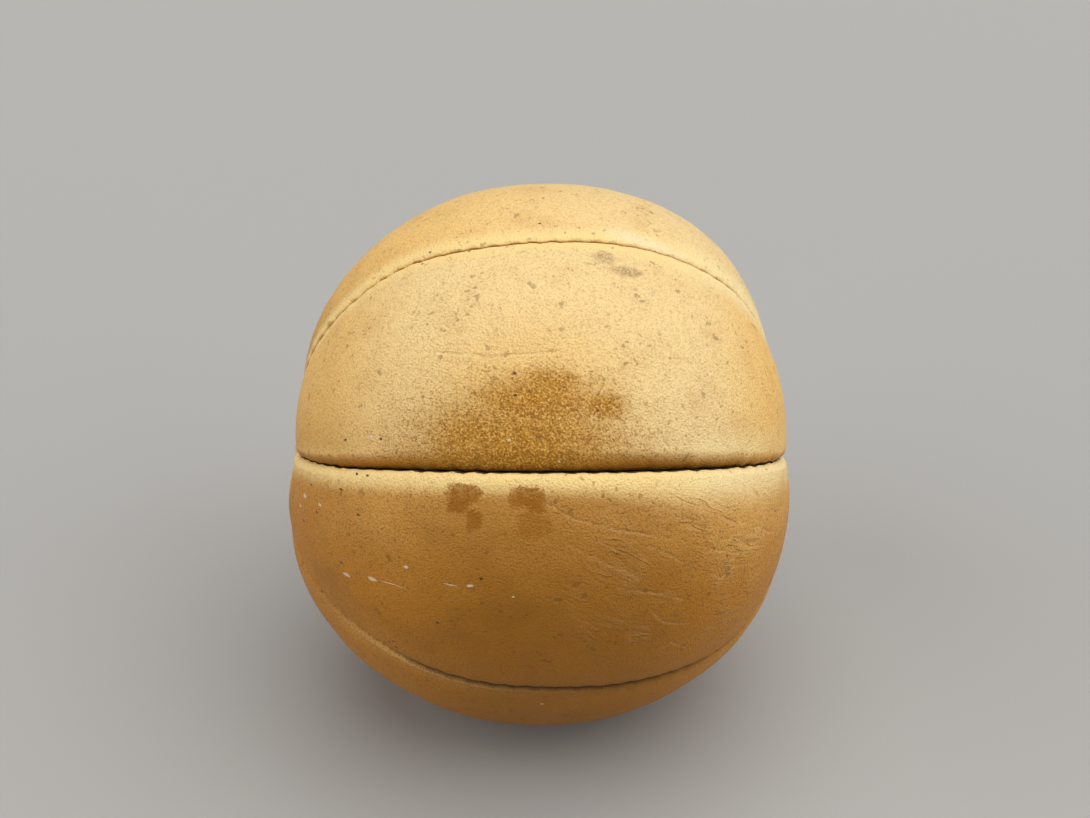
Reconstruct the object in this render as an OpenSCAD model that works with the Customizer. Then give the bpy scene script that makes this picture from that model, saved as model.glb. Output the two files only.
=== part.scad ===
/* [Ball] */
// Widest diameter of the stuffed ball, measured over the panel crowns (mm)
ball_diameter = 270; // [220:1:320]
// How far the lengthwise curve of a panel is centred off the pole axis; more makes the ball shorter (mm)
pole_shortening = 14; // [8:0.5:20]
// Depth of the flat that the ball's own weight presses into its lowest panel (mm)
rest_flat_depth = 7.5; // [3:0.5:7.5]

/* [Leather panels] */
// Thickness of the leather (mm)
leather_thickness = 3; // [2:0.25:4]
// How far each panel's crosswise curve is centred off the pole axis; more makes it bulge more (mm)
panel_bulge = 30; // [15:1:40]
// Radius of the rolled edge along every seam (mm)
edge_roll = 7; // [5:0.5:8]
// Depth of the turned-in seam allowance below the seam line (mm)
seam_allowance = 8; // [7:0.5:10]

/* [End caps] */
// Diameter of the round leather cap at each pole (mm)
cap_diameter = 84; // [76:1:96]
// Rise of the cap's dome over its seam (mm)
cap_rise = 5; // [3:0.25:6]

/* [Stitching] */
// Diameter of the waxed thread (mm)
thread_diameter = 1.2; // [1:0.1:1.4]
// Distance between stitch holes along a panel seam (mm)
stitch_pitch = 9; // [7:0.5:12]
// Stitches through each panel's end, where it is sewn to a cap
cap_stitches_per_panel = 4; // [2:1:4]

/* [Hidden] */
$fn = 96;
// The eight gores round the pole axis, in degrees
panel_count = 8;
panel_angle = 360 / panel_count;
half_angle = panel_angle / 2;
// Which gore, counted downwards from the front one, lies on the floor
lowest_panel = 2;
// Angles that the turned shapes are drawn over, a little more than a gore or a seam needs
thread_tail = 1;
bulge_sweep = 160;
roll_sweep = 160;
panel_sweep = 60;
// A gore's wedge starts inside the cap, at this share of its radius
wedge_start = 0.7;
// Depth worn off the very crown of a panel, which leaves a flat spot about 10 mm across
crown_wear = 0.1;
// How far a cutting shape is drawn past what it cuts
cut_excess = 2;
// Clearances between pieces
sewn_gap = 0.1;
hole_slack = 0.2;
fill_gap = 0.15;
ring_slack = 0.05;
bar_stop = 0.4;

// Lengthwise curve of a panel crown, an arc about a point off the pole axis
ball_radius = ball_diameter / 2;
crown_radius = ball_radius - pole_shortening;
cap_radius = cap_diameter / 2;
centre_height = ball_radius - rest_flat_depth;

// Where the bulged panel surface meets the seam plane: at the equator and at the cap
seam_equator = panel_bulge * cos(half_angle)
    + sqrt(pow(ball_radius - panel_bulge, 2) - pow(panel_bulge * sin(half_angle), 2));
cap_corner = norm([cap_radius * cos(half_angle) - panel_bulge, cap_radius * sin(half_angle)]);
seam_cap_height = sqrt(pow(crown_radius, 2) - pow(cap_corner + panel_bulge - pole_shortening, 2));
// The seam line is the circle through those points
seam_centre = (pow(seam_equator, 2) - pow(cap_radius, 2) - pow(seam_cap_height, 2))
    / (2 * (seam_equator - cap_radius));
seam_radius = seam_equator - seam_centre;
allowance_radius = seam_radius - seam_allowance;

// Rolled edge: a round that presses flat on its neighbour at the seam plane and stands proud of the seam line
roll_press = 0.5;
roll_proud = 1.1;
roll_inset = edge_roll - roll_press;
roll_drop = edge_roll - roll_proud;

// Stitch line, halfway down the allowance that is left below the rolled edge
stitch_depth = 5.7;
stitch_radius = seam_radius - stitch_depth;
thread_radius = thread_diameter / 2;
// A thread is drawn a little thinner where it passes through the leather
rung_share = 0.85;
rung_radius = thread_radius * rung_share;
hole_radius = thread_radius + hole_slack / 2;
// Each run of thread lies this far off the leather, and the last stitch keeps this far from the cap
run_gap = 0.9;
last_stitch_gap = 6;
run_offset = sewn_gap + leather_thickness + run_gap;
stitch_reach = acos((cap_radius + last_stitch_gap - seam_centre) / stitch_radius);
stitch_gaps = floor(2 * stitch_reach * PI / 180 * stitch_radius / stitch_pitch);
stitch_step = 2 * stitch_reach / stitch_gaps;

// Cap seam: the panels' turned-in ends stand outside the cap's turned-in rim
crown_at_cap = sqrt(pow(crown_radius, 2) - pow(cap_radius - pole_shortening, 2));
// The cap's edge lies a little below the panels, its rim ends just over the core, and it is sewn above that
cap_sink = 0.8;
rim_lift = 0.8;
rim_room = 2;
cap_stitch_lift = 2.2;
// The cap's rim rolls over tighter than a panel's edge, about a centre moved out and up
cap_roll_less = 1.5;
cap_roll_out = 0.8;
cap_roll_up = 1.3;
cap_edge_height = crown_at_cap - cap_sink;
dome_radius = (pow(cap_radius, 2) + pow(cap_rise, 2)) / (2 * cap_rise);
dome_centre = cap_edge_height + cap_rise - dome_radius;
rim_inside = cap_radius - seam_centre - leather_thickness - rim_room;
rim_foot = sqrt(pow(allowance_radius, 2) - pow(rim_inside, 2)) + rim_lift;
cap_stitch_height = rim_foot + cap_stitch_lift;
cap_stitch_step = panel_angle / cap_stitches_per_panel;
outer_ring = cap_radius + run_offset;
inner_ring = cap_radius - run_offset;

// Node names, one for every piece

panel_colour = [0.74, 0.53, 0.30];
cap_colour = [0.68, 0.45, 0.23];
thread_colour = [0.27, 0.17, 0.09];
stuffing_colour = [0.72, 0.66, 0.55];

// Frames: the pole axis becomes X, and a panel's middle points up by the given angle from the front
module placed(elevation) {
    translate([0, 0, centre_height])
        rotate([-elevation, 0, 0])
            multmatrix([[0, 0, 1, 0], [-1, 0, 0, 0], [0, -1, 0, 0], [0, 0, 0, 1]])
                children();
}

// Bulged body of one gore before it is cut to its wedge, drawn in by an inset
module bulged_body(inset) {
    radius = crown_radius - inset;
    reach = sqrt(pow(radius, 2) - pow(cap_radius - pole_shortening, 2)) + cut_excess / 2;
    translate([panel_bulge, 0, 0])
        rotate([0, 0, -bulge_sweep / 2])
            rotate_extrude(angle = bulge_sweep)
                intersection() {
                    translate([pole_shortening - panel_bulge, 0]) circle(r = radius);
                    translate([0, -reach]) square([radius, 2 * reach]);
                }
}

// Wedge between two seam planes, each moved into the panel by an inset, up to a far face
module wedge(inset, far) {
    tip = inset / sin(half_angle);
    near = wedge_start * cap_radius;
    near_half = (near - tip) * tan(half_angle);
    far_half = (far - tip) * tan(half_angle);
    linear_extrude(height = 2 * ball_diameter, center = true)
        polygon([[near, -near_half], [far, -far_half], [far, far_half], [near, near_half]]);
}

// Bulged body of one gore between its seam planes; the lowest gore stops at its flat
module gore(inset, side_gap, flat) {
    intersection() {
        bulged_body(inset);
        wedge(side_gap, (flat ? centre_height : ball_radius - crown_wear) - inset);
    }
}

// Everything deeper than the seam allowances, over an angle round the pole axis
module core_body(inset, sweep) {
    rotate([0, 0, -sweep / 2])
        rotate_extrude(angle = sweep)
            intersection() {
                translate([seam_centre, 0]) circle(r = allowance_radius - inset);
                translate([0, -ball_radius]) square([ball_radius, ball_diameter]);
            }
}

// A post along the pole axis, through both ends of the ball
module pole_post(radius) {
    rotate([0, 0, 180]) cylinder(r = radius, h = 2 * ball_diameter, center = true);
}

// What is cut away outside the rolled edge on one side of a panel
module edge_cut(side) {
    rotate([0, 0, side * half_angle])
        translate([seam_centre, 0, 0])
            rotate([90, 0, 0])
                rotate([0, 0, -roll_sweep / 2])
                    rotate_extrude(angle = roll_sweep)
                        translate([seam_radius - roll_drop, 0])
                            difference() {
                                translate([0, side > 0 ? -cut_excess : -roll_inset])
                                    square([edge_roll + cut_excess, roll_inset + cut_excess]);
                                translate([0, side * roll_inset]) circle(r = edge_roll);
                            }
}

// What is cut away outside the rolled end of a panel, next to a cap
module end_cut(end) {
    height = crown_at_cap - edge_roll - roll_press;
    rotate([0, 0, -panel_sweep / 2])
        rotate_extrude(angle = panel_sweep)
            difference() {
                translate([cap_radius - cut_excess, end > 0 ? height : -height - 2 * edge_roll])
                    square([roll_inset + cut_excess, 2 * edge_roll]);
                translate([cap_radius + roll_inset, end * height]) circle(r = edge_roll);
            }
}

// A row of short bars across a seam plane, one at each stitch
module seam_bars(radius, half_length) {
    translate([seam_centre, 0, 0])
        for (i = [0 : stitch_gaps])
            rotate([0, stitch_reach - i * stitch_step, 0])
                translate([stitch_radius, 0, 0])
                    rotate([90, 0, 0])
                        cylinder(r = radius, h = 2 * half_length, center = true);
}

// Radial bars through a cap seam, one at each stitch of some panels in a row
module cap_bars(radius, from, to, height, panels) {
    for (i = [0 : panels * cap_stitches_per_panel - 1])
        rotate([0, 0, (i + 0.5) * cap_stitch_step - half_angle])
            translate([from, 0, height])
                rotate([0, 90, 0])
                    cylinder(r = radius, h = to - from);
}

// A ring of thread round the pole axis, or part of one
module ring(radius, tube, height, sweep) {
    translate([0, 0, height])
        rotate([0, 0, -sweep / 2])
            rotate_extrude(angle = sweep)
                translate([radius, 0]) circle(r = tube);
}

// Leather of one gore: its bulged face and the allowances turned in along its sides and ends
module turned_gore(flat) {
    difference() {
        difference() {
            gore(0, sewn_gap, flat);
            core_body(0, panel_sweep);
            pole_post(cap_radius + sewn_gap);
        }
        difference() {
            gore(leather_thickness, sewn_gap + leather_thickness, flat);
            pole_post(cap_radius + sewn_gap + leather_thickness);
        }
    }
}

// The same with its four edges rolled over
module rolled_gore(flat) {
    difference() {
        difference() {
            difference() {
                turned_gore(flat);
                edge_cut(1);
            }
            edge_cut(-1);
        }
        end_cut(1);
        end_cut(-1);
    }
}

// One leather panel: the rolled gore with its stitch holes
module panel(flat) {
    difference() {
        difference() {
            difference() {
                rolled_gore(flat);
                rotate([0, 0, half_angle]) seam_bars(hole_radius, run_offset + thread_radius);
            }
            rotate([0, 0, -half_angle]) seam_bars(hole_radius, run_offset + thread_radius);
        }
        for (end = [-1, 1]) {
            cap_bars(hole_radius, cap_radius - cut_excess, outer_ring - bar_stop, end * cap_stitch_height, 1);
            ring(outer_ring, hole_radius + ring_slack, end * cap_stitch_height, panel_sweep);
        }
    }
}

// One end cap: a shallow dome with its rim turned in and stitched
module end_cap(end) {
    rim = cap_radius - sewn_gap;
    roll = edge_roll - cap_roll_less;
    roll_centre = [rim - roll + cap_roll_out, cap_edge_height - roll + cap_roll_up];
    rotate([end > 0 ? 0 : 180, 0, 0])
        difference() {
            rotate_extrude()
                difference() {
                    intersection() {
                        translate([0, dome_centre]) circle(r = dome_radius);
                        translate([0, rim_foot]) square([rim, 2 * cap_radius]);
                    }
                    intersection() {
                        translate([0, dome_centre]) circle(r = dome_radius - leather_thickness);
                        square([rim - leather_thickness, ball_diameter]);
                    }
                    difference() {
                        translate(roll_centre) square([2 * roll, 2 * roll]);
                        translate(roll_centre) circle(r = roll);
                    }
                }
            cap_bars(hole_radius, rim - leather_thickness - cut_excess, rim + cut_excess,
                cap_stitch_height, panel_count);
        }
}

// Saddle stitching of one panel seam: a run of thread on each side and a bar through every hole
module seam_thread(elevation) {
    sweep = 2 * stitch_reach + thread_tail;
    color(thread_colour)
        placed(elevation) {
            for (side = [-1, 1])
                translate([seam_centre, 0, 0])
                    rotate([90, 0, 0])
                        ring(stitch_radius, thread_radius, side * run_offset, sweep);
            seam_bars(rung_radius, run_offset);
        }
}

// Saddle stitching of one cap seam: a ring of thread on each side and a bar through every hole
module cap_thread(end) {
    color(thread_colour)
        placed(0)
            rotate([end > 0 ? 0 : 180, 0, 0]) {
                ring(outer_ring, thread_radius, cap_stitch_height, 360);
                ring(inner_ring, thread_radius, cap_stitch_height, 360);
                cap_bars(rung_radius, inner_ring, outer_ring, cap_stitch_height, panel_count);
            }
}

// Packed fibre fill: a core, a pad behind every panel and a plug behind each cap
module fill() {
    pad_inset = leather_thickness + fill_gap;
    thread_room = run_offset + thread_radius + bar_stop;
    core_body(fill_gap, 360);
    for (i = [0 : panel_count - 1])
        rotate([0, 0, i * panel_angle])
            difference() {
                gore(pad_inset, thread_room, i == lowest_panel);
                pole_post(cap_radius + thread_room);
            }
    intersection() {
        pole_post(cap_radius - thread_room);
        translate([0, 0, dome_centre]) sphere(r = dome_radius - pad_inset);
        translate([0, 0, -dome_centre]) sphere(r = dome_radius - pad_inset);
    }
}

module top_panel() { color(panel_colour) placed(90) panel(false); }
module upper_front_panel() { color(panel_colour) placed(45) panel(false); }
module front_panel() { color(panel_colour) placed(0) panel(false); }
module under_front_panel() { color(panel_colour) placed(-45) panel(false); }
module bottom_panel() { color(panel_colour) placed(-90) panel(true); }
module under_back_panel() { color(panel_colour) placed(-135) panel(false); }
module back_panel() { color(panel_colour) placed(180) panel(false); }
module upper_back_panel() { color(panel_colour) placed(135) panel(false); }
module left_end_cap() { color(cap_colour) placed(0) end_cap(-1); }
module right_end_cap() { color(cap_colour) placed(0) end_cap(1); }
module top_front_seam_thread() { seam_thread(67.5); }
module front_upper_seam_thread() { seam_thread(22.5); }
module front_lower_seam_thread() { seam_thread(-22.5); }
module bottom_front_seam_thread() { seam_thread(-67.5); }
module bottom_back_seam_thread() { seam_thread(-112.5); }
module back_lower_seam_thread() { seam_thread(-157.5); }
module back_upper_seam_thread() { seam_thread(157.5); }
module top_back_seam_thread() { seam_thread(112.5); }
module left_cap_thread() { cap_thread(-1); }
module right_cap_thread() { cap_thread(1); }
module stuffing() { color(stuffing_colour) placed(0) fill(); }

top_panel();
upper_front_panel();
front_panel();
under_front_panel();
bottom_panel();
under_back_panel();
back_panel();
upper_back_panel();
left_end_cap();
right_end_cap();
top_front_seam_thread();
front_upper_seam_thread();
front_lower_seam_thread();
bottom_front_seam_thread();
bottom_back_seam_thread();
back_lower_seam_thread();
back_upper_seam_thread();
top_back_seam_thread();
left_cap_thread();
right_cap_thread();
stuffing();
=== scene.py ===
import math
import random
import bpy
import numpy as np
from mathutils import Matrix, Vector, noise


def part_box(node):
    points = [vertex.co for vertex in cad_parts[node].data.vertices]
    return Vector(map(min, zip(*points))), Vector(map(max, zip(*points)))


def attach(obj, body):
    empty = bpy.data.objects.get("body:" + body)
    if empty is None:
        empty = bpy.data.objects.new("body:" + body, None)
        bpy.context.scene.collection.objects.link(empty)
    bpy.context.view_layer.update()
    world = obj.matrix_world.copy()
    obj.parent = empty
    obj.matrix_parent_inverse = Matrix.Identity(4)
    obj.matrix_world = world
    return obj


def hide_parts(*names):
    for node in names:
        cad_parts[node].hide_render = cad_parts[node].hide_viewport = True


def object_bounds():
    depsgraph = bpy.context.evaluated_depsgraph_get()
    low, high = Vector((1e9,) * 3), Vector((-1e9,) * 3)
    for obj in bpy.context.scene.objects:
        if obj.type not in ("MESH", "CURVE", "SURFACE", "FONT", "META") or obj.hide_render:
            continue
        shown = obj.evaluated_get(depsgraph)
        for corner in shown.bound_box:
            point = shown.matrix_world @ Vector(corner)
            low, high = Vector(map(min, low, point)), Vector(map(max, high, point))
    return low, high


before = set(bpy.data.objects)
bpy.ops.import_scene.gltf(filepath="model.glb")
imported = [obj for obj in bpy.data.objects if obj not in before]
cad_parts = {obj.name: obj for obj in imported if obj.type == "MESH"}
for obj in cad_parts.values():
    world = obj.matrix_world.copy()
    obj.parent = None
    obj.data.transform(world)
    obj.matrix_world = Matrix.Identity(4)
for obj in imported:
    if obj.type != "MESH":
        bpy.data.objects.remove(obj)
cad_low, cad_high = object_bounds()


# Leather panels
# Eight long gores of thick tan hide, sewn inside out and turned, so that every edge rolls down into its
# seam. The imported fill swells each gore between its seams, and the floor presses the lowest one flat.
gore_count = 8
gore_degrees = 360 // gore_count
half_gore = math.radians(gore_degrees / 2)
ball_radius = (cad_high.y - cad_low.y) / 2
settling_lift = 0.0025
ball_centre = Vector((0, 0, cad_high.z - ball_radius + settling_lift))
cap_low, cap_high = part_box("left_end_cap")
cap_radius = (cap_high.z - cap_low.z) / 2
cap_gap = 0.0002
pole_shortening = 0.016
panel_bulge = 0.030
crown_radius = ball_radius - pole_shortening
leather_thickness = 0.0028

# A rolled edge: a broad round that turns most of the way down, then a tight tuck into the seam
round_radius = 0.0035
end_round_radius = 0.004
tuck_radius = 0.0012
round_turn = math.radians(62)
round_share = 0.8

# How deep the edges are turned in between the gores and below the caps
seam_allowance = 0.011
least_allowance = 0.002
end_allowance = 0.005

# The sides of a gore roll as its ends do where they are this near the pole axis, and in their own way from
# the second distance on. Near the caps, a roll takes up no more than this share of the distance.
narrow_distance = 0.075
broad_distance = 0.125
widest_roll_share = 0.9

# From its middle to its edge, a gore's rows make its face, then its rolled edge, then what is turned in
panel_rows_along = 300
panel_rows_across = 130
face_share_along = 0.92
turned_share_along = 0.97
face_share_across = 0.62
turned_share_across = 0.95
face_angle = math.radians(72)
hidden_distance = -0.002

# Degrees that the middle of each gore points up by, from the front, and how pale its hide is where it faces
# level. Painted light: all hides are paler where they face up, and a rolled edge hardly more than the face
# beside it.
panel_kinds = {
    "top_panel": (90, 0.15),
    "upper_front_panel": (45, 0.4),
    "front_panel": (0, 0.07),
    "under_front_panel": (-45, 0.3),
    "bottom_panel": (-90, 0.2),
    "under_back_panel": (-135, 0.25),
    "back_panel": (180, 0.2),
    "upper_back_panel": (135, 0.3),
}
upward_painted_light = 0.9
edge_paleness = 0.1

# Small unevenness of the hides: how high it stands, how many waves a metre has, and how far from the seams
dent_height = 0.0007
dents_per_metre = 24
ripple_height = 0.00022
ripples_per_metre = 85
dent_clearance = 0.006

# Hand stitching: its pitch, how far it sways and gapes between holes, and how deep it draws the leather in
stitch_pitch = 0.009
most_stitches = 80
stitch_seed = 40
stitch_sway = 0.00048
least_sway = -0.4
stitch_gape = 0.0002
seam_gap = 0.0002
stitch_pull = 0.0004
least_pull = 0.5
pull_reach = 0.008

# A seam wanders in long waves, and less so where it nears a cap
seam_wander = 0.0005
wander_length = 0.037
wander_step = 1.7
cap_end_wander = 0.35
taper_length = 0.06

# How far up round the ball the sewer let a seam drift (mm), at six places along the poles (mm)
drift_places = [-100, -70, -35, 0, 50, 95]
drift_reaches = np.arange(-140, 141)
drift_softening = 23
seam_drifts = {
    0: [-1.2, 0, 0.1, -0.4, -1.1, -1.4],
    1: [0.5, 2.8, -1.5, -1.5, 3.2, 7],
    7: [-0.5, -0.5, -2.7, -2.2, -10.5, -24],
}
# Seams whose edges are rolled otherwise than the rest: the radius on the gore before the seam, counted up
# the front of the ball, and on the gore after it
edge_rounds = {0: (0.0025, 0.010), 1: (0.002, 0.002), 7: (0.003, 0.004)}

# The ball's own weight spreads its lower half and draws in its upper half by this share
sag = 0.048
# The fill swells the shoulders between the equator and the caps, and the caps are drawn in
shoulder_swell = 0.0036
cap_draw = 0.0051
# Shallow swellings and hollows of the lumpy fill: which way they face, and how high they stand (mm)
lump_width = 0.050
fill_lumps = [
    ((94, -4, 35), -3.7),
    ((58, 20, 79), -2.3),
    ((1, 30, 95), -5.8),
    ((-57, 23, 79), -4.4),
    ((-94, 1, 35), 2.5),
    ((-94, -27, -19), 6.4),
    ((-59, -51, -63), -1.2),
    ((-1, -61, -79), -1.8),
    ((57, -54, -63), -3),
    ((93, -32, -19), -0.4),
    ((40, 88, -10), 1.5),
    ((-50, 80, 30), -1.5),
]


def share_between(values, low, high):
    """How far each value is on its way from low to high, from 0 to 1."""
    return np.clip((values - low) / (high - low), 0, 1)


def nearness(distance, width):
    """1 at no distance, and falling off softly over the width."""
    return np.exp(-((distance / width) ** 2))


def pace(share):
    """Spaces steps from -1 to 1 along the poles so that they are even on the curve of a gore."""
    return np.sin(face_angle * share) / math.sin(face_angle)


def round_axis(reach, distance, angle):
    """Points at reaches along the poles, distances from their axis, and angles up from the front."""
    return np.stack([reach, -distance * np.cos(angle), distance * np.sin(angle)], axis=1)


def gore_radius(turn, reach):
    """Distance of the swelled leather from the pole axis, at a turn off the gore's middle line."""
    swell = pole_shortening - panel_bulge + np.sqrt(crown_radius**2 - reach**2)
    return panel_bulge * np.cos(turn) + np.sqrt(swell**2 - (panel_bulge * np.sin(turn)) ** 2)


def gore_reach(turn, radius):
    """How far along the poles the swelled leather is where it comes that near the pole axis."""
    corner = np.hypot(radius * np.cos(turn) - panel_bulge, radius * np.sin(turn))
    return np.sqrt(crown_radius**2 - (corner + panel_bulge - pole_shortening) ** 2)


def sunk(distance, reach, depth):
    """Distance from the pole axis and reach of what lies that deep below a place on the leather."""
    slant = np.hypot(distance - pole_shortening, reach)
    return distance - depth * (distance - pole_shortening) / slant, reach - depth * reach / slant


class Seam:
    """One hand-sewn seam between two gores: its wander, and the draw of its stitches."""

    def __init__(self, number):
        dice = random.Random(stitch_seed + number)
        self.number = number
        self.sways = np.array([dice.uniform(least_sway, 1.0) for stitch in range(most_stitches)])
        self.pulls = np.array([dice.uniform(least_pull, 1.0) for stitch in range(most_stitches)])
        self.shift = dice.uniform(0, 1)
        drifts = seam_drifts.get(number, [0] * len(drift_places))
        straight = np.interp(drift_reaches, drift_places, drifts)
        softener = np.hanning(2 * drift_softening + 1)
        padded = np.pad(straight, drift_softening, mode="edge")
        self.drift = np.convolve(padded, softener / np.sum(softener), mode="valid")
        self.round_before, self.round_after = edge_rounds.get(number, (round_radius, round_radius))

    def stitch(self, along):
        """Sideways shift, half gap and inward pull of the seam at distances along it from the middle."""
        phase = along / stitch_pitch + most_stitches // 2 + self.shift
        index = phase.astype(int)
        part = phase - index
        sway = self.sways[index] * np.sin(2 * np.pi * part) ** 3
        gape = np.sin(np.pi * part) ** 2
        pull = self.pulls[np.where(part > 0.5, index + 1, index)] * np.cos(np.pi * part) ** 2
        wander = seam_wander * np.sin(along / wander_length + self.number * wander_step)
        wander = wander + np.interp(along * 1000, drift_reaches, self.drift) / 1000
        return wander + stitch_sway * sway, seam_gap + stitch_gape * gape, stitch_pull * pull


seams = [Seam(number) for number in range(gore_count)]


def end_taper(distance):
    """Lessens the wander of a seam towards a cap, at distances from the pole axis."""
    share = share_between(distance, cap_radius, cap_radius + taper_length)
    return cap_end_wander + (1 - cap_end_wander) * share**2 * (3 - 2 * share)


def rolled_edge(share, radius):
    """Distance from the seam plane, and drop below the panel's face, at shares of the way round a roll."""
    broad = share_between(share, 0, round_share) * round_turn
    tight = round_turn + share_between(share, round_share, 1) * (math.pi / 2 - round_turn)
    inset = tuck_radius * (1 - np.sin(tight)) + radius * (math.sin(round_turn) - np.sin(broad))
    drop = radius * (1 - np.cos(broad)) + tuck_radius * (math.cos(round_turn) - np.cos(tight))
    return inset, drop


def panel_shape(along, across, lower_seam, upper_seam, elevation):
    """Where a point of the flat gore goes on the stuffed ball, how far it is from a seam, and its girth."""
    roll_along = share_between(abs(along), face_share_along, turned_share_along)
    turned_along = share_between(abs(along), turned_share_along, 1)
    roll_across = share_between(abs(across), face_share_across, turned_share_across)
    turned_across = share_between(abs(across), turned_share_across, 1)
    on_face_along = abs(along) <= face_share_along
    on_face_across = abs(across) <= face_share_across
    upper = across > 0

    # The seam line next to the point
    spread = np.clip(along / face_share_along, -1, 1)
    end_inset, end_drop = rolled_edge(roll_along, end_round_radius)
    end_radius = cap_radius + cap_gap + rolled_edge(0, end_round_radius)[0]
    seam_reach = gore_reach(half_gore, end_radius) * pace(spread)
    seam_distance = gore_radius(half_gore, seam_reach)
    seam_along = crown_radius * np.arcsin(np.clip(seam_reach / crown_radius, -1, 1))
    low_shift, low_gap, low_pull = lower_seam.stitch(seam_along)
    high_shift, high_gap, high_pull = upper_seam.stitch(seam_along)
    gap = np.where(upper, high_gap, low_gap)
    pull = np.where(upper, high_pull, low_pull)
    shift = np.where(upper, high_shift, -low_shift) * end_taper(seam_distance)
    side_turn = half_gore + shift / seam_distance

    # Across the gore: its face, then the roll, then the turned-in allowance
    side_round = np.where(upper, upper_seam.round_before, lower_seam.round_after)
    broad = share_between(seam_distance, narrow_distance, broad_distance)
    side_radius = end_round_radius + (side_round - end_round_radius) * broad
    inset, drop = rolled_edge(roll_across, side_radius)
    width = rolled_edge(0 * roll_across, side_radius)[0]
    edge_turn = side_turn - np.arcsin(np.minimum((inset + gap) / seam_distance, widest_roll_share))
    face_turn = side_turn - np.arcsin(np.minimum((width + gap) / seam_distance, widest_roll_share))
    turn = np.where(on_face_across, across / face_share_across * face_turn, np.sign(across) * edge_turn)

    # Along the gore in the same way. A gore swells between its seams wherever these drift to.
    swell_turn = turn * half_gore / side_turn
    face_reach = gore_reach(swell_turn, end_radius) * pace(spread)
    end_distance = cap_radius + cap_gap + end_inset
    end_reach = gore_reach(swell_turn, end_distance) - end_drop - turned_along * end_allowance
    reach = np.where(on_face_along, face_reach, np.sign(along) * end_reach)
    distance = np.where(on_face_along, gore_radius(swell_turn, face_reach), end_distance)

    # Drawn in along the seam
    side_length = side_radius * round_turn + tuck_radius
    off_side = np.where(
        on_face_across,
        side_length + abs(abs(across / face_share_across) - 1) * face_turn * seam_distance,
        side_length * (1 - roll_across),
    )
    drop = drop + turned_across * np.maximum(seam_allowance - drop, least_allowance)
    drop = drop + pull * nearness(off_side, pull_reach)
    distance, reach = sunk(distance, reach, drop)

    # How far it is from the nearest seam, over the leather
    end_length = end_round_radius * round_turn + tuck_radius
    off_end = np.where(
        on_face_along,
        end_length + (1 - abs(spread)) * face_angle * crown_radius,
        end_length * (1 - roll_along),
    )
    hidden = np.maximum(turned_across, turned_along) > 0
    edge_distance = np.where(hidden, hidden_distance, np.minimum(off_side, off_end))
    angle = math.radians(elevation) + turn
    return round_axis(reach, distance, angle), edge_distance, angle * ball_radius


def uneven_height(points):
    """How far the broad dents and fine ripples of a hide lift it at each point."""
    return np.array([
        dent_height * noise.noise(Vector(point) * dents_per_metre)
        + ripple_height * noise.noise(Vector(point) * ripples_per_metre)
        for point in points
    ])


def settled(points):
    """Moves points, measured from the ball's middle, to where its own weight and lumpy fill leave them."""
    moved = points.copy()
    length = np.linalg.norm(points, axis=1)
    outward = points / np.maximum(length, 1e-6)[:, None]
    poleward = abs(outward[:, 0])
    full = shoulder_swell * 4 * poleward**2 * (1 - poleward**2) - cap_draw * poleward**8
    moved += outward * full[:, None]
    spread = 1 - sag * points[:, 2] / ball_radius
    moved[:, 0] *= spread
    moved[:, 1] *= spread
    for facing, height in fill_lumps:
        middle = np.array(facing) / np.linalg.norm(facing)
        apart = ball_radius * np.arccos(np.clip(outward @ middle, -1, 1))
        moved += outward * (height / 1000 * nearness(apart, lump_width))[:, None]
    moved += np.array(ball_centre)
    moved[:, 2] = np.maximum(moved[:, 2], 0.0)
    return moved


class Wire:
    """A shader socket that takes part in arithmetic, where every operation adds a node to its tree."""

    def __init__(self, tree, socket=None):
        self.tree = tree
        self.socket = socket

    def node(self, kind, inputs=None, output=0, **settings):
        """Adds any node with these settings, input values and links, and gives back one of its outputs."""
        added = self.tree.nodes.new(kind)
        for name, value in settings.items():
            setattr(added, name, value)
        for name, value in (inputs or {}).items():
            if isinstance(value, Wire):
                value.feed(added, name)
            else:
                added.inputs[name].default_value = value
        return Wire(self.tree, added.outputs[output])

    def feed(self, node, name):
        """Links the socket to one of a node's inputs."""
        self.tree.links.new(self.socket, node.inputs[name])

    def math(self, operation, *values):
        return self.node("ShaderNodeMath", dict(enumerate(values)), operation=operation)

    def __add__(self, other):
        return self.math("ADD", self, other)

    def __radd__(self, other):
        return self.math("ADD", other, self)

    def __sub__(self, other):
        return self.math("SUBTRACT", self, other)

    def __rsub__(self, other):
        return self.math("SUBTRACT", other, self)

    def __mul__(self, other):
        return self.math("MULTIPLY", self, other)

    def __rmul__(self, other):
        return self.math("MULTIPLY", other, self)

    def between(self, low, high):
        """Rises smoothly from 0 where the socket is low to 1 where it is high."""
        inputs = {"Value": self, "From Min": low, "From Max": high}
        return self.node("ShaderNodeMapRange", inputs, interpolation_type="SMOOTHSTEP")

    def blend(self, first, second):
        """The first colour where the socket is 0, and the second where it is 1."""
        inputs = {0: self, 6: first, 7: second}
        return self.node("ShaderNodeMix", inputs, output=2, data_type="RGBA")


def start_material(name):
    """A new material, a wire into its tree, and its shader."""
    material = bpy.data.materials.new(name)
    material.use_nodes = True
    return material, Wire(material.node_tree), material.node_tree.nodes["Principled BSDF"]


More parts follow.
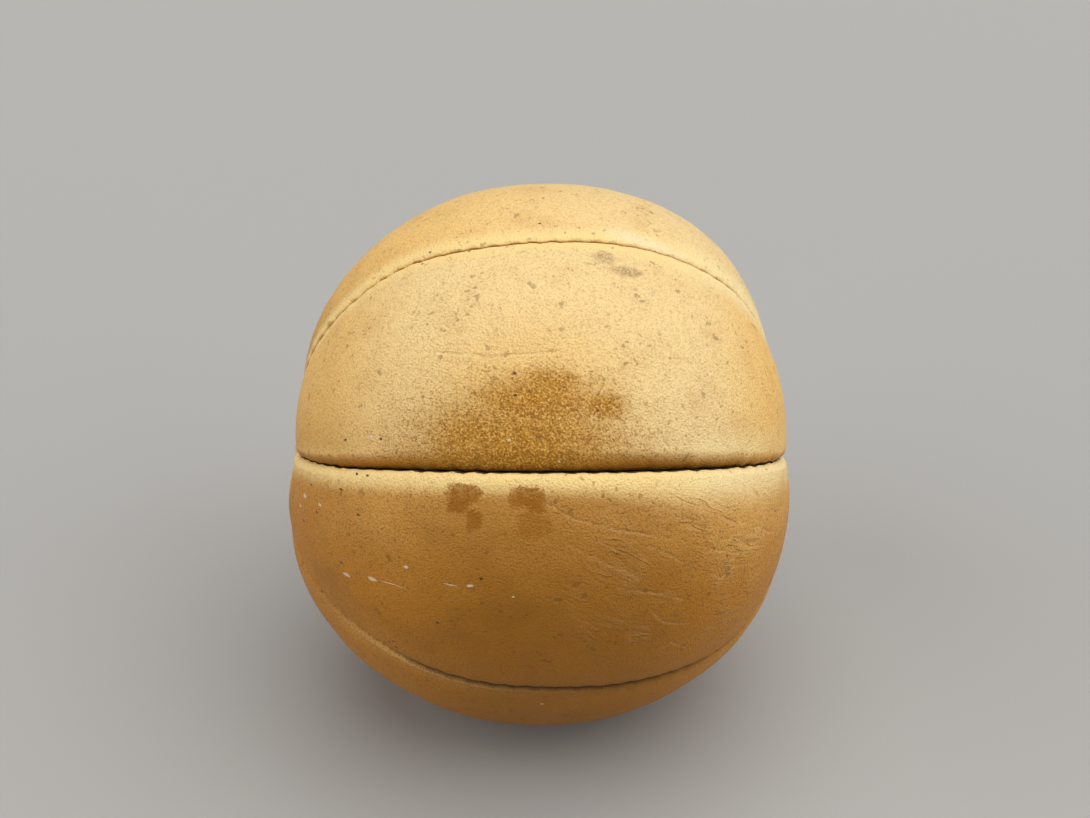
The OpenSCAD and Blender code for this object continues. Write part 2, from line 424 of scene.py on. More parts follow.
# Marks of use: places as mm along the poles and mm up round the ball, then half lengths and half heights
tints = [(-10, 88, 40, 28)]
stains = [(-13, 64, 44, 22), (-6, 80, 30, 13), (-30, 65, 24, 16), (20, 79, 11, 7), (0, 88, 14, 6)]
patches = [
    (-34.5, 44, 7, 4), (-36.5, 40, 4.5, 4.5), (-30, 34, 3.6, 4), (-9, 43, 7.2, 4.6), (-5.5, 41, 4, 5),
]
faint_patches = [(-7, 32.4, 7, 5)]
# A painted highlight: the sheen on the top gore's front edge
sheens = [(40, 166, 18, 4.5)]
smudges = [(22, 148, 6, 5), (31, 141, 9, 4)]
scuffs = [
    (-73, 68, 1.4, 0.8), (-106, 25, 0.8, 1.8), (-109, 14, 0.8, 1), (-97, 26, 1, 0.9), (-85, -8, 1.7, 1.1),
    (-73, -3, 1.9, 1.1), (-64, -2, 6, 0.25), (-58, 9, 1, 0.7), (-40, 5, 3, 0.3), (-32, 5.6, 1.3, 0.6),
    (-15, 2.4, 0.7, 0.5), (-3, -69, 1, 0.6), (3, 57, 0.6, 0.6), (-16, 66, 0.7, 0.5),
]
# A mark is half faded at this share of its half size. Specks are all of one size, and creases are lines
# through their places.
mark_rim = 0.85
speck_size = (0.8, 0.7)
specks = [
    (-79, 49), (-84, 67), (-68, 67), (-74, 49), (-102, 36), (-86, 40), (-99, 20), (-107, 5), (-87, -2),
    (-78, 29), (-53, 156), (-50, 163), (-33, 156), (-3, 170), (18, 77), (-14, 92), (-14, 83), (-28, 9),
    (-46, -16), (-68, -44), (-65, -46), (-70, -47), (-66, -41),
]
creases = [
    [(-3, 42), (9, 35), (19, 32), (35, 28), (52, 22), (74, 11), (97, -8)],
    [(39, 22), (47, 17), (53, 12)],
    [(69, 30), (78, 24), (89, 16), (100, 2)],
    [(3, 27), (15, 20), (27, 13), (35, 8)],
    [(35, 3), (48, -2), (54, -7)],
    [(42, -10), (46, -16), (58, -23)],
    [(51, -31), (58, -40)],
    [(61, 6), (71, -2), (77, 2)],
    [(-60, 105), (-44, 103), (-24, 99), (4, 100)],
    [(-47, 83), (-50, 64)],
    [(-43, 82), (-45, 62)],
    [(40, 68), (43, 63)],
    [(43, 69), (46, 63)],
]


class Hide:
    """What the leather is like at each point, as wires that the stages of its finish read."""

    def __init__(self, wire):
        self.wire = wire
        self.place = wire.node("ShaderNodeTexCoord", output="Object")
        self.along = wire.node("ShaderNodeSeparateXYZ", {"Vector": self.place}, output="X")
        self.height = wire.node("ShaderNodeSeparateXYZ", {"Vector": self.place}, output="Z")
        self.seam = self.attribute("seam_distance")
        self.girth = self.attribute("girth")
        self.pale = self.attribute("paleness")
        self.upward = self.attribute("upward")

        # Uneven dye and dirt, from broad to fine, and the pebbles of the grain
        self.mottle = self.cloud(14, 3)
        self.blotch = self.cloud(60, 6, 0.6)
        self.smear = self.cloud(220, 5, 0.7)
        self.fleck = self.cloud(500, 3, 0.7)
        self.speckle = self.cloud(1100, 2, 0.6)
        pebbles = {"Vector": self.place, "Scale": 1150, "Smoothness": 0.4}
        self.pebble = wire.node("ShaderNodeTexVoronoi", pebbles, feature="SMOOTH_F1")
        strayed = (self.blotch - 0.5) * 3
        self.flat = wire.node(
            "ShaderNodeCombineXYZ",
            {"X": self.along * 1000 + strayed, "Y": self.girth * 1000 + strayed},
        )

        # Parts of the ball, where its hides are painted paler as light from above and a sheen from the
        # right, and the painted highlight on upper edges that face up
        self.left = 1 - self.along.between(-0.10, 0.06)
        self.above = self.girth.between(0.052, 0.054)
        self.upper_front = self.above * (1 - self.girth.between(0.158, 0.160))
        uneven = (self.mottle - 0.5) * 0.4 + (self.blotch - 0.5) * 0.2
        # Painted light and sheen: paler where it faces up and towards the right, over an uneven mottle of
        # the hide
        self.painted_light_and_mottle = self.pale + uneven + self.along.between(0.02, 0.10) * 0.25
        # Painted highlight on upper edges that face up, wider and paler towards the right
        lit_edge_width = 0.012 + self.along.between(0.0, 0.08) * 0.009
        self.painted_lit_edge = 1 - self.seam.between(0.004, lit_edge_width)
        self.painted_lit_edge = self.painted_lit_edge * self.upward.between(0.0, 0.42) * self.height.between(0.10, 0.15)

    def attribute(self, name):
        return self.wire.node("ShaderNodeAttribute", attribute_name=name, output="Fac")

    def cloud(self, scale, detail, roughness=0.5):
        inputs = {"Vector": self.place, "Scale": scale, "Detail": detail, "Roughness": roughness}
        return self.wire.node("ShaderNodeTexNoise", inputs)

    def vector(self, operation, *values, output="Vector"):
        inputs = dict(enumerate(values))
        return self.wire.node("ShaderNodeVectorMath", inputs, output=output, operation=operation)

    def nearest(self, distances):
        """The least of some distances."""
        least = distances[0]
        for distance in distances[1:]:
            least = self.wire.math("MINIMUM", least, distance)
        return least

    def marks(self, places, ragged, soft=0.3, square=False):
        """1 inside oval or squarish marks and 0 outside them, with ragged edges."""
        distances = []
        for middle_along, middle_girth, half_length, half_height in places:
            apart = self.vector("SUBTRACT", self.flat, (middle_along, middle_girth, 0))
            apart = self.vector("DIVIDE", apart, (half_length, half_height, 1))
            if square:
                apart = self.vector("MULTIPLY", apart, apart)
            distances.append(self.vector("LENGTH", apart, output="Value"))
        return 1 - (self.nearest(distances) + ragged).between(mark_rim - soft, mark_rim + soft)

    def strokes(self, paths):
        """Distance in mm from lines drawn through places on the leather."""
        distances = []
        for path in paths:
            for start, end in zip(path, path[1:]):
                step = Vector((end[0] - start[0], end[1] - start[1], 0))
                apart = self.vector("SUBTRACT", self.flat, (start[0], start[1], 0))
                share = self.vector("DOT_PRODUCT", apart, step / step.length_squared, output="Value")
                share = self.wire.node("ShaderNodeClamp", {"Value": share})
                foot = self.wire.node("ShaderNodeVectorMath", {0: step, "Scale": share}, operation="SCALE")
                distances.append(self.vector("DISTANCE", apart, foot, output="Value"))
        return self.nearest(distances)


def dyed_and_lit(hide, deep_tan, straw, warm_straw):
    """The hide's colour with painted light: pale where it faces up and towards the right, and darker across
    the middle of the ball where it is not pale.
    """
    rust = (0.50, 0.20, 0.03, 1)
    dull_brown = (0.24, 0.095, 0.006, 1)
    middle_brown = (0.20, 0.075, 0.003, 1)

    # The upper front gore is more orange at its ends, those above and behind it are so towards the left,
    # and those below it all over. The paler straw towards the right is a painted sheen.
    ends = 1 - hide.along.between(-0.105, -0.045) * (1 - hide.along.between(0.06, 0.10))
    warm = hide.left + (ends - hide.left) * hide.upper_front
    warm = hide.wire.math("MAXIMUM", 1 - hide.above, warm)
    # Painted light and shade: deep tan where the hide faces level or down, straw where it faces up
    colour = hide.painted_light_and_mottle.between(0.0, 1.0).blend(deep_tan, warm.blend(straw, warm_straw))
    colour = (hide.blotch.between(0.45, 0.8) * 0.25).blend(colour, rust)
    painted_shade_and_mottle = 1 - hide.painted_light_and_mottle.between(0.0, 0.9)
    dull = hide.cloud(30, 4, 0.6).between(0.48, 0.68) * painted_shade_and_mottle
    colour = (dull * 0.28).blend(colour, dull_brown)
    # Darker across the middle of the ball, where the hide is not pale
    off_middle = hide.wire.math("ABSOLUTE", hide.along - 0.005)
    middle_darkening = (1 - off_middle.between(0.02, 0.09)) * painted_shade_and_mottle
    return (middle_darkening * 0.58).blend(colour, middle_brown)


def edge_light_and_shade(hide, colour):
    """Painted highlights on upper edges that face up and on low ones at the left, and painted shade near
    seams where edges face down.
    """
    highlight_cream = (0.98, 0.71, 0.29, 1)
    pale_highlight_cream = (0.98, 0.77, 0.38, 1)
    low_edge_highlight_tan = (0.82, 0.50, 0.17, 1)
    underside_shade_brown = (0.17, 0.08, 0.014, 1)
    # Painted highlight: cream along upper edges that face up, paler towards the right
    colour = hide.painted_lit_edge.blend(colour, hide.along.between(0.03, 0.08).blend(highlight_cream, pale_highlight_cream))
    # Painted highlight on the low edges at the left, the more they face up
    low_edge_highlight = (1 - hide.seam.between(0.002, 0.014)) * hide.upward.between(-0.5, 0.1)
    low_edge_highlight = low_edge_highlight * (1 - hide.height.between(0.08, 0.10))
    colour = (low_edge_highlight * hide.left * 0.6).blend(colour, low_edge_highlight_tan)
    # Painted shade near the seams where the edges face down, less at the left and right
    underside_shade = (1 - hide.seam.between(0.001, 0.010)) * (1 - hide.upward.between(-0.6, 0.1))
    underside_shade = underside_shade * (1 - hide.left * 0.5) * (1 - hide.along.between(0.05, 0.10) * 0.6)
    return (underside_shade * 0.7).blend(colour, underside_shade_brown)


def marked(hide, colour):
    """Marks of use: the tint and the flecked stain, then patches and smudges; and a painted sheen."""
    honey = (0.86, 0.50, 0.12, 1)
    stain_brown = (0.47, 0.205, 0.012, 1)
    stain_fleck = (0.22, 0.085, 0.002, 1)
    stain_grain = (0.86, 0.52, 0.13, 1)
    stain_pore = (0.16, 0.055, 0.002, 1)
    patch_brown = (0.31, 0.11, 0.002, 1)
    smudge_grey = (0.20, 0.105, 0.055, 1)
    sheen_cream = (0.96, 0.80, 0.52, 1)
    ragged = (hide.blotch - 0.5) * 0.35 + (hide.smear - 0.5) * 1.2 + (hide.speckle - 0.5) * 0.9

    tinted = hide.marks(tints, ragged * 0.5, 0.75) * hide.upper_front
    colour = (tinted * 0.5).blend(colour, honey)
    soaked = hide.marks(stains, ragged, 0.65) * hide.upper_front
    colour = (soaked * (0.85 + hide.smear.between(0.4, 0.6) * 0.15)).blend(colour, stain_brown)
    colour = (soaked * hide.fleck.between(0.5, 0.62) * 0.5).blend(colour, stain_fleck)
    colour = (soaked * hide.speckle.between(0.53, 0.62) * 0.65).blend(colour, stain_grain)
    colour = (soaked * (1 - hide.speckle.between(0.36, 0.46)) * 0.5).blend(colour, stain_pore)

    patched = hide.marks(patches, ragged * 1.6, 0.45, True) * (0.76 + hide.fleck.between(0.4, 0.6) * 0.24)
    faint = hide.marks(faint_patches, ragged * 2.5, 0.6, True) * 0.65
    colour = hide.wire.math("MAXIMUM", patched, faint).blend(colour, patch_brown)
    smudged = hide.marks(smudges, ragged * 1.5) * (0.15 + hide.speckle.between(0.45, 0.55) * 0.5)
    colour = smudged.blend(colour, smudge_grey)
    # Painted highlight: a cream sheen on the top gore's front edge
    return (hide.marks(sheens, ragged, 0.6) * 0.6).blend(colour, sheen_cream)


def creased_and_folded(hide):
    """1 in the drawn creases, and up to 1 on the shallow folds that run down to the right of the front."""
    run = (hide.along * 0.9 - hide.girth * 0.45) * 20
    rise = (hide.girth * 0.9 + hide.along * 0.45) * 75
    slanted = hide.wire.node("ShaderNodeCombineXYZ", {"X": run, "Y": rise})
    waves = {"Vector": slanted, "Scale": 0.9, "Detail": 3, "Roughness": 0.55}
    step = hide.wire.math("FRACT", hide.wire.node("ShaderNodeTexNoise", waves) * 9)
    fold = step.between(0.0, 0.12) * (1 - step)
    wrinkled = hide.girth.between(-0.06, -0.02) * (1 - hide.girth.between(0.03, 0.05))
    wrinkled = wrinkled * hide.along.between(-0.01, 0.05) * (1 - hide.along.between(0.08, 0.10) * 0.8)
    wrinkled = wrinkled * hide.cloud(45, 2).between(0.42, 0.62)
    crease = (1 - hide.strokes(creases).between(0.1, 1.2)) * hide.blotch.between(0.35, 0.6)
    return crease, fold * wrinkled


def grained(hide, colour):
    """Dirt between the pebbles and in the pores, then pale scuffs and black specks."""
    pit_brown = (0.30, 0.115, 0.008, 1)
    pore_brown = (0.12, 0.05, 0.008, 1)
    scuff_white = (0.88, 0.78, 0.62, 1)
    speck_black = (0.05, 0.022, 0.01, 1)
    pit = hide.pebble.between(0.25, 0.8) * 0.12 + hide.fleck.between(0.5, 0.66) * 0.14
    pit = pit + (1 - hide.speckle.between(0.34, 0.5)) * (0.66 - hide.painted_light_and_mottle.between(0.1, 0.9) * 0.40)
    colour = (pit * (1 - hide.painted_lit_edge * 0.6)).blend(colour, pit_brown)
    pores = hide.cloud(330, 1).between(0.64, 0.72) * hide.blotch.between(0.42, 0.58)
    colour = (pores * 0.45).blend(colour, pore_brown)
    scuffed = hide.marks(scuffs, (hide.fleck - 0.5) * 1.2)
    colour = (scuffed * 0.6).blend(colour, scuff_white)
    specked = hide.marks([speck + speck_size for speck in specks], hide.fleck - 0.5)
    return (specked * 0.9).blend(colour, speck_black)


def seam_dirt_and_shade(hide):
    """1 deep in the seams, spreading widest on the low ones, away from the left, and faint on top: partly
    dirt, partly painted shade in the seam grooves.
    """
    low = (1 - hide.height.between(0.080, 0.092)) * hide.along.between(-0.085, -0.05)
    width = 0.0015 - hide.height.between(0.08, 0.11) * 0.001 + low * 0.0038
    return (1 - hide.seam.between(0.0, width)) * (1 - hide.height.between(0.20, 0.235) * 0.7)


def leather_finish(name, deep_tan, straw, warm_straw):
    """Worn natural leather: painted paler where it faces up, pebbled, with painted highlights and shade on
    its edges, dirty and painted dark in its seams.
    """
    crest_highlight_tan = (0.80, 0.54, 0.25, 1)
    dirt_and_shade_black = (0.035, 0.014, 0.005, 1)
    material, wire, shader = start_material(name)
    hide = Hide(wire)
    crease, fold = creased_and_folded(hide)
    dirt_and_shade = seam_dirt_and_shade(hide)
    colour = dyed_and_lit(hide, deep_tan, straw, warm_straw)
    colour = edge_light_and_shade(hide, colour)
    colour = marked(hide, colour)
    # Painted highlight: paler tan on the crease lines and on the crests of the folds
    colour = (crease * 0.14 + fold * 0.22).blend(colour, crest_highlight_tan)
    colour = grained(hide, colour)
    # Partly seam dirt, partly painted shade: near black deep in the seams
    colour = (dirt_and_shade * 0.9).blend(colour, dirt_and_shade_black)
    colour.feed(shader, "Base Color")
    roughness = 0.5 + (hide.fleck - 0.5) * 0.25 + dirt_and_shade * 0.2
    roughness.feed(shader, "Roughness")
    relief = hide.pebble * -0.8 + hide.speckle * 0.6 - crease * 0.8 + fold * 2
    bump = wire.node("ShaderNodeBump", {"Strength": 0.9, "Distance": 0.0005, "Height": relief})
    bump.feed(shader, "Normal")
    shader.inputs["Specular IOR Level"].default_value = 0.2
    return material


def deselect_all():
    if bpy.context.object and bpy.context.object.mode != "OBJECT":
        bpy.ops.object.mode_set(mode="OBJECT")
    bpy.ops.object.select_all(action="DESELECT")


def name_piece(name):
    """Names the piece that was just added, and gives it back."""
    piece = bpy.context.object
    piece.name = name
    piece.data.name = name
    return piece


def read_points(mesh):
    points = np.empty(len(mesh.vertices) * 3)
    mesh.vertices.foreach_get("co", points)
    return points.reshape(-1, 3)


def write_points(mesh, points):
    mesh.vertices.foreach_set("co", np.ascontiguousarray(points).ravel())
    mesh.update()


def write_attribute(mesh, name, values):
    attribute = mesh.attributes.new(name, "FLOAT", "POINT")
    attribute.data.foreach_set("value", np.ascontiguousarray(values, dtype=np.float32))


def upward_share(mesh):
    """How far each point of a mesh faces up, from -1 to 1."""
    normals = np.empty(len(mesh.vertices) * 3, dtype=np.float32)
    mesh.vertex_normals.foreach_get("vector", normals)
    return normals.reshape(-1, 3)[:, 2]


def dress(piece, finish):
    """Smooths the piece that is being made, and gives it its material."""
    bpy.ops.object.shade_smooth()
    piece.data.materials.clear()
    piece.data.materials.append(finish)


panel_finish = leather_finish(
    "tan_leather",
    deep_tan=(0.52, 0.21, 0.016, 1),
    straw=(0.94, 0.69, 0.32, 1),
    warm_straw=(0.94, 0.58, 0.18, 1),
)
for name, (elevation, paleness) in panel_kinds.items():
    deselect_all()
    bpy.ops.mesh.primitive_grid_add(
        x_subdivisions=panel_rows_along, y_subdivisions=panel_rows_across, size=2
    )
    panel = name_piece(name + "_leather")
    flat = read_points(panel.data)
    upper_number = elevation // gore_degrees % gore_count
    shape, edge_distance, girth = panel_shape(
        flat[:, 0], flat[:, 1], seams[upper_number - 1], seams[upper_number], elevation
    )
    on_show = share_between(edge_distance, 0, dent_clearance)
    outward = shape / np.linalg.norm(shape, axis=1)[:, None]
    shape = shape + outward * (on_show * uneven_height(shape))[:, None]
    write_points(panel.data, settled(shape))
    upward = upward_share(panel.data)
    # Painted light: the hide is paler where it faces up, and its rolled edges hardly more than its face
    facing_up = np.minimum(upward, outward[:, 2] + edge_paleness)
    write_attribute(panel.data, "seam_distance", edge_distance)
    write_attribute(panel.data, "girth", girth)
    write_attribute(panel.data, "upward", upward)
    write_attribute(panel.data, "paleness", paleness + upward_painted_light * facing_up)
    thickness = panel.modifiers.new("thickness", "SOLIDIFY")
    thickness.thickness = leather_thickness
    thickness.offset = -1
    bpy.ops.object.modifier_apply(modifier=thickness.name)
    dress(panel, panel_finish)
    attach(panel, "root")
    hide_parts(name)


# Seam threads
# One waxed linen thread sews each seam from inside: it goes out along the turned-in edges, in and out of
# them at every hole, and comes back through the same holes, so that every gap is covered on both sides.
thread_radius = 0.0006
thread_depth = 0.0095
thread_half_spacing = 0.00065
thread_clearance = 0.0009
thread_offset = leather_thickness + thread_clearance
thread_end_share = 0.97
crossing_sharpness = 6
seam_stitches = 33
rings_per_stitch = 24
thread_seams = [
    "front_upper",
    "top_front",
    "top_back",
    "back_upper",
    "back_lower",
    "bottom_back",
    "bottom_front",
    "front_lower",
]

dark_wax = (0.05, 0.028, 0.012, 1)
worn_wax = (0.16, 0.09, 0.04, 1)
thread_finish, wire, shader = start_material("waxed_thread")
place = wire.node("ShaderNodeTexCoord", output="Object")
fibre = wire.node("ShaderNodeTexNoise", {"Vector": place, "Scale": 900, "Detail": 2})
fibre.blend(dark_wax, worn_wax).feed(shader, "Base Color")
shader.inputs["Roughness"].default_value = 0.6


def add_thread_ring(rings):
    """Adds a ring of thread, and gives it with the share of the way along it and the angle round it."""
    deselect_all()
    bpy.ops.mesh.primitive_torus_add(
        major_segments=rings, minor_segments=8, major_radius=1, minor_radius=0.1
    )
    ring = bpy.context.object
    points = read_points(ring.data)
    share = np.arctan2(points[:, 1], points[:, 0]) % (2 * np.pi) / (2 * np.pi)
    swing = np.arctan2(points[:, 2], np.hypot(points[:, 0], points[:, 1]) - 1)
    return ring, share, swing


def saddle_side(stitches):
    """Which side of the leather the thread is on, from -1 to 1, at a count of stitches from its start."""
    return np.tanh(crossing_sharpness * np.cos(np.pi * stitches))


def seam_thread_shape(seam, share, swing):
    """Where the thread of a seam lies, on its way out and back, at angles round it."""
    outbound = share < 0.5
    way = np.where(outbound, 1, -1)
    travel = np.where(outbound, share * 2, 2 - share * 2)
    side = saddle_side(travel * seam_stitches + 0.5) * way
    depth = thread_depth - thread_half_spacing * way - thread_radius * np.sin(swing)
    thread_reach = gore_reach(half_gore, cap_radius + end_round_radius) * thread_end_share
    reach = thread_reach * pace(2 * travel - 1)
    distance = gore_radius(half_gore, reach)
    shift = seam.stitch(crown_radius * np.arcsin(reach / crown_radius))[0] * end_taper(distance)
    sideways = shift + thread_offset * side + thread_radius * np.cos(swing)
    distance, reach = sunk(distance, reach, depth)
    angle = half_gore * (1 + 2 * seam.number)
    shape = round_axis(reach, distance, angle)
    return shape + sideways[:, None] * np.array([0, math.sin(angle), math.cos(angle)])


def face_outwards():
    """Turns every face of the piece that is being made outwards."""
    bpy.ops.object.mode_set(mode="EDIT")
    bpy.ops.mesh.select_all(action="SELECT")
    bpy.ops.mesh.normals_make_consistent(inside=False)
    bpy.ops.object.mode_set(mode="OBJECT")


for name, seam in zip(thread_seams, seams):
    thread, share, swing = add_thread_ring(seam_stitches * rings_per_stitch)
    name_piece(name + "_thread")
    write_points(thread.data, settled(seam_thread_shape(seam, share, swing)))
    face_outwards()
    dress(thread, thread_finish)
    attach(thread, "root")
    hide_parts(name + "_seam_thread")


# End caps
# A round of slightly redder hide at each pole, domed by the fill. Its rim is turned in and sewn to the
# turned-in ends of the eight gores.
cap_lift = 0.0042
cap_reach = gore_reach(0, cap_radius) + cap_lift
cap_rim = cap_radius - cap_gap
cap_roll = 0.0045
cap_rim_depth = 0.0105
dome_rise = 0.006
dome_points = 40
roll_points = 14
cap_segments = 192
cap_rings = 120
cap_paleness = 0.4

# The stitches pucker the cap from here out to its rim
cap_stitches = 32
pucker_depth = 0.0004
pucker_start = 0.030
pucker_full = 0.042

# What the finish takes as the way over the whole profile, and how much of that is turned in at the rim
cap_profile_way = 0.12
rim_turned_in = 0.008
rim_least_distance = -0.001


def cap_profile(inset):
    """Distances from the pole axis and heights of a cap's skin, from its middle to its turned-in rim."""
    flat_part = np.linspace(0, 1, dome_points) * (cap_rim - cap_roll)
    dome = cap_reach - dome_rise * (flat_part / cap_rim) ** 2
    bend = np.linspace(0, np.pi / 2, roll_points)
    rolled_out = cap_rim - cap_roll + (cap_roll - inset) * np.sin(bend)
    rolled_down = dome[-1] - cap_roll + (cap_roll - inset) * np.cos(bend)
    radii = np.concatenate([flat_part, rolled_out, [cap_rim - inset]])
    heights = np.concatenate([dome - inset, rolled_down, [dome[-1] - cap_rim_depth]])
    return radii, heights


def cap_points(end, height, radius, around):
    """Points at heights along one end of the poles, distances from their axis, and angles round it."""
    return np.stack([end * height, radius * np.cos(around), end * radius * np.sin(around)], axis=1)


cap_finish = leather_finish(
    "red_tan_leather",
    deep_tan=(0.42, 0.14, 0.018, 1),
    straw=(0.72, 0.42, 0.15, 1),
    warm_straw=(0.70, 0.36, 0.10, 1),
)
outer_radii, outer_heights = cap_profile(0)
inner_radii, inner_heights = cap_profile(leather_thickness)
profile_radii = np.concatenate([outer_radii, inner_radii[::-1]])
profile_heights = np.concatenate([outer_heights, inner_heights[::-1]])
profile_steps = np.hypot(np.diff(profile_radii), np.diff(profile_heights))
profile_length = np.concatenate([[0], np.cumsum(profile_steps)])
profile_share = profile_length / profile_length[-1]
for name, end in {"left_end_cap": -1, "right_end_cap": 1}.items():
    deselect_all()
    bpy.ops.mesh.primitive_uv_sphere_add(segments=cap_segments, ring_count=cap_rings, radius=1)
    cap = name_piece(name + "_leather")
    globe = read_points(cap.data)
    share = np.arccos(np.clip(globe[:, 2], -1, 1)) / np.pi
    around = np.arctan2(globe[:, 1], globe[:, 0])
    radius = np.interp(share, profile_share, profile_radii)
    height = np.interp(share, profile_share, profile_heights)
    puckers = np.cos(around * cap_stitches) * share_between(radius, pucker_start, pucker_full)
    write_points(cap.data, settled(cap_points(end, height - pucker_depth * puckers, radius, around)))
    face_outwards()
    upward = upward_share(cap.data)
    rim_distance = np.maximum(0.5 - share, 0) * cap_profile_way - rim_turned_in
    write_attribute(cap.data, "seam_distance", np.maximum(rim_distance, rim_least_distance))
    write_attribute(cap.data, "girth", around * cap_radius)
    write_attribute(cap.data, "upward", upward)
    # Painted light: the cap is paler where it faces up
    write_attribute(cap.data, "paleness", cap_paleness + upward_painted_light * upward)
    dress(cap, cap_finish)
    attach(cap, "root")
    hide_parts(name)


# Cap threads
# The same waxed thread sews each cap to the gores' ends from inside, in the same saddle stitch: two rounds
# that lie one below the other and swap sides at every hole.
cap_thread_depth = 0.0085
cap_thread_half_spacing = 0.0007
rings_per_cap_stitch = 16
for name, end in {"left_cap": -1, "right_cap": 1}.items():
    rounds = []
    for round_number, way in enumerate([-1, 1]):
        thread, share, swing = add_thread_ring(cap_stitches * rings_per_cap_stitch)
        side = saddle_side(share * cap_stitches + round_number)
        depth = cap_thread_depth + cap_thread_half_spacing * way
        radius = cap_radius + thread_offset * side + thread_radius * np.cos(swing)
        height = cap_reach - dome_rise - depth + thread_radius * np.sin(swing)
        write_points(thread.data, settled(cap_points(end, height, radius, share * 2 * np.pi)))
        rounds.append(thread)
    deselect_all()
    for thread in rounds:
        thread.select_set(True)
    bpy.context.view_layer.objects.active = rounds[0]
    bpy.ops.object.join()
    thread = name_piece(name + "_thread_rounds")
    face_outwards()
    dress(thread, thread_finish)
    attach(thread, "root")
    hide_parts(name + "_thread")


# Stuffing
# Loose fibre packed hard through the last open seam. It fills every gore up to the leather and stays clear
# of the turned-in edges and their threads.
fill_clearance = 0.0045
fill_seam_clearance = 0.0155
fill_corner_clearance = 0.0075
fill_seam_width = 0.014
fill_floor_gap = 0.0008
fill_reach = gore_reach(half_gore, cap_radius)
fill_halvings = 24
fill_segments = 192
fill_rings = 96


def fill_length(slope, turn):
    """How far the inside goes from the ball's middle, at slopes to the poles and turns off a crown."""
    inner = np.zeros(len(slope))
    outer = np.full(len(slope), ball_radius)
    for halving in range(fill_halvings):
        length = (inner + outer) / 2
        reach = length * np.sin(slope)
        held = length * np.cos(slope) < gore_radius(turn, np.clip(reach, -fill_reach, fill_reach))
        held = held & (abs(reach) < fill_reach)
        inner = np.where(held, length, inner)
        outer = np.where(held, outer, length)
    return length


deselect_all()
bpy.ops.mesh.primitive_uv_sphere_add(segments=fill_segments, ring_count=fill_rings, radius=1)
fill = name_piece("packed_fibre")
globe = read_points(fill.data)
slope = np.arcsin(np.clip(globe[:, 2], -1, 1))
around = np.arctan2(globe[:, 1], globe[:, 0])
length = fill_length(slope, (around + half_gore) % (2 * half_gore) - half_gore)
reach = length * np.sin(slope)
distance = length * np.cos(slope)
off_seam = (around % (2 * half_gore) - half_gore) * distance
seam_number = np.floor(around / (2 * half_gore)).astype(int) % gore_count
for seam in seams:
    beside = seam_number == seam.number
    off_seam[beside] -= seam.stitch(reach[beside])[0] * end_taper(distance[beside])
near_seam = nearness(off_seam, fill_seam_width)
near_cap = nearness(distance - cap_radius, fill_seam_width)
clearance = fill_clearance + (fill_seam_clearance - fill_clearance) * np.maximum(near_seam, near_cap)
clearance = clearance + fill_corner_clearance * near_seam * near_cap
length = length - clearance
shape = settled(round_axis(length * np.sin(slope), length * np.cos(slope), around))
shape[:, 2] = np.maximum(shape[:, 2], leather_thickness + fill_floor_gap)
write_points(fill.data, shape)
face_outwards()

dark_fibre = (0.36, 0.28, 0.18, 1)
pale_fibre = (0.62, 0.53, 0.40, 1)
fill_finish, wire, shader = start_material("packed_fibre")
place = wire.node("ShaderNodeTexCoord", output="Object")
tangle = wire.node("ShaderNodeTexNoise", {"Vector": place, "Scale": 160, "Detail": 6, "Roughness": 0.7})
tangle.blend(dark_fibre, pale_fibre).feed(shader, "Base Color")
shader.inputs["Roughness"].default_value = 0.95
bump = wire.node("ShaderNodeBump", {"Strength": 0.8, "Distance": 0.002, "Height": tangle})
bump.feed(shader, "Normal")
dress(fill, fill_finish)
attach(fill, "root")
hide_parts("stuffing")


# Floor, light and camera
# A plain pale studio floor under three broad soft lamps, one overhead and one from each side of the viewer,
# and a camera a little above the ball.
floor_size = 60
floor_grey = (0.42, 0.41, 0.39, 1)
deselect_all()
bpy.ops.mesh.primitive_plane_add(size=floor_size)
floor = name_piece("floor")
floor_finish, wire, shader = start_material("pale_floor")
shader.inputs["Base Color"].default_value = floor_grey
shader.inputs["Roughness"].default_value = 0.8
shader.inputs["Specular IOR Level"].default_value = 0.2
floor.data.materials.append(floor_finish)

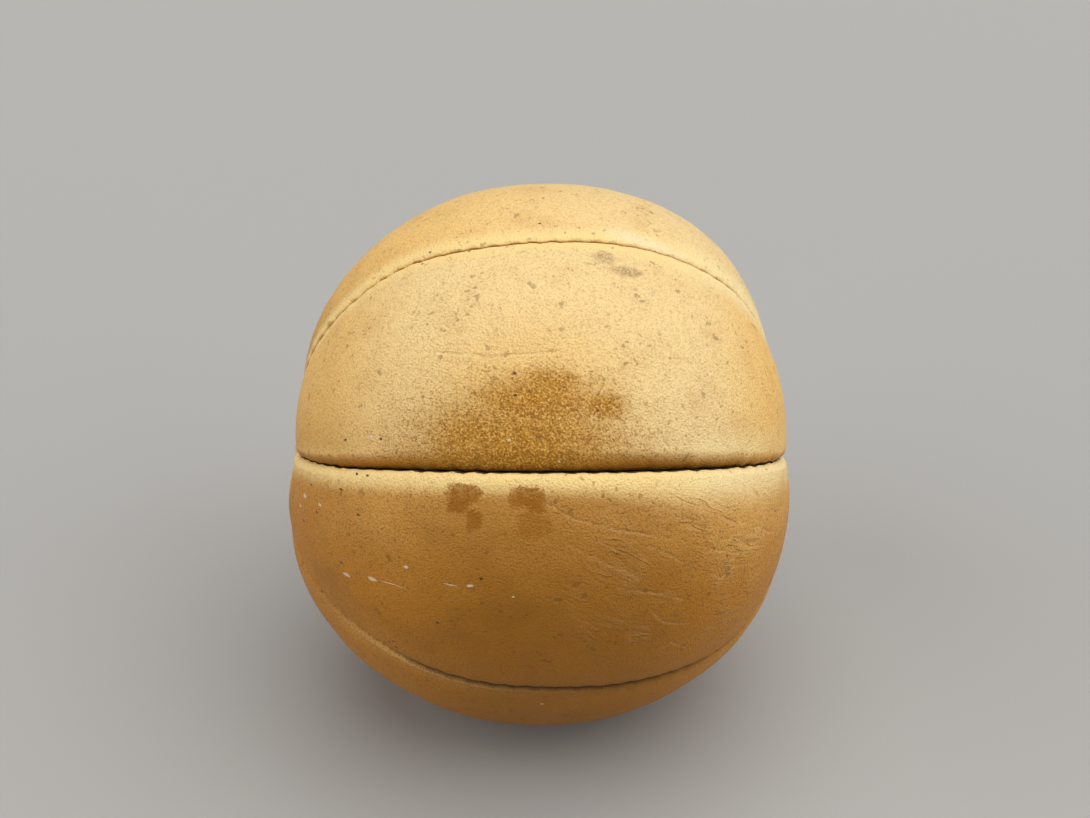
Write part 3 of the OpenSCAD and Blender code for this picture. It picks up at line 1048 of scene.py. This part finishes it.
# Where each lamp shines from, how strong it is, and how many degrees wide
lamps = [
    ((0.4, -0.1, 2), 2.32, 75),
    ((-2, -0.9, 1.2), 1.3, 60),
    ((2.2, -1.2, 0.9), 1.32, 60),
]
for place, energy, spread in lamps:
    bpy.ops.object.light_add(type="SUN", location=place)
    lamp = bpy.context.object
    lamp.data.energy = energy
    lamp.data.angle = math.radians(spread)
    lamp.rotation_euler = (ball_centre - lamp.location).to_track_quat("-Z", "Y").to_euler()

# The room beyond the floor gives little light, and looks as pale as the floor does
room_light = 0.07
backdrop_light = 0.48
world = bpy.data.worlds.new("studio")
bpy.context.scene.world = world
world.use_nodes = True
wire = Wire(world.node_tree)
seen = wire.node("ShaderNodeLightPath", output="Is Camera Ray")
for ray in ["Is Glossy Ray", "Is Transmission Ray"]:
    seen = wire.math("MAXIMUM", seen, wire.node("ShaderNodeLightPath", output=ray))
strength = room_light + seen * (backdrop_light - room_light)
backdrop = world.node_tree.nodes["Background"]
backdrop.inputs["Color"].default_value = (1, 1, 1, 1)
strength.feed(backdrop, "Strength")

# The camera, from the place of the ball's middle in the picture
photo_width = 1090
photo_height = 818
ball_pixel_x = 544.3
ball_pixel_y = 445.2
focal_pixels = 1145
sensor_width = 36
view_distance = 0.574
view_azimuth = math.radians(-1.4)
view_elevation = math.radians(27.5)
camera_roll = math.radians(0.475)

back = Vector((
    math.sin(view_azimuth) * math.cos(view_elevation),
    -math.cos(view_azimuth) * math.cos(view_elevation),
    math.sin(view_elevation),
))
bpy.ops.object.camera_add(location=ball_centre + back * view_distance)
camera = bpy.context.object
camera.data.sensor_width = sensor_width
camera.data.lens = focal_pixels * sensor_width / photo_width
aim = (-back).to_track_quat("-Z", "Y").to_matrix()
sideways = math.atan((ball_pixel_x - photo_width / 2) / focal_pixels)
upwards = math.atan((ball_pixel_y - photo_height / 2) / focal_pixels)
aim = aim @ Matrix.Rotation(sideways, 3, "Y") @ Matrix.Rotation(upwards, 3, "X")
aim = aim @ Matrix.Rotation(camera_roll, 3, "Z")
camera.rotation_euler = aim.to_euler()
bpy.context.scene.camera = camera
bpy.context.scene.view_settings.view_transform = "Standard"
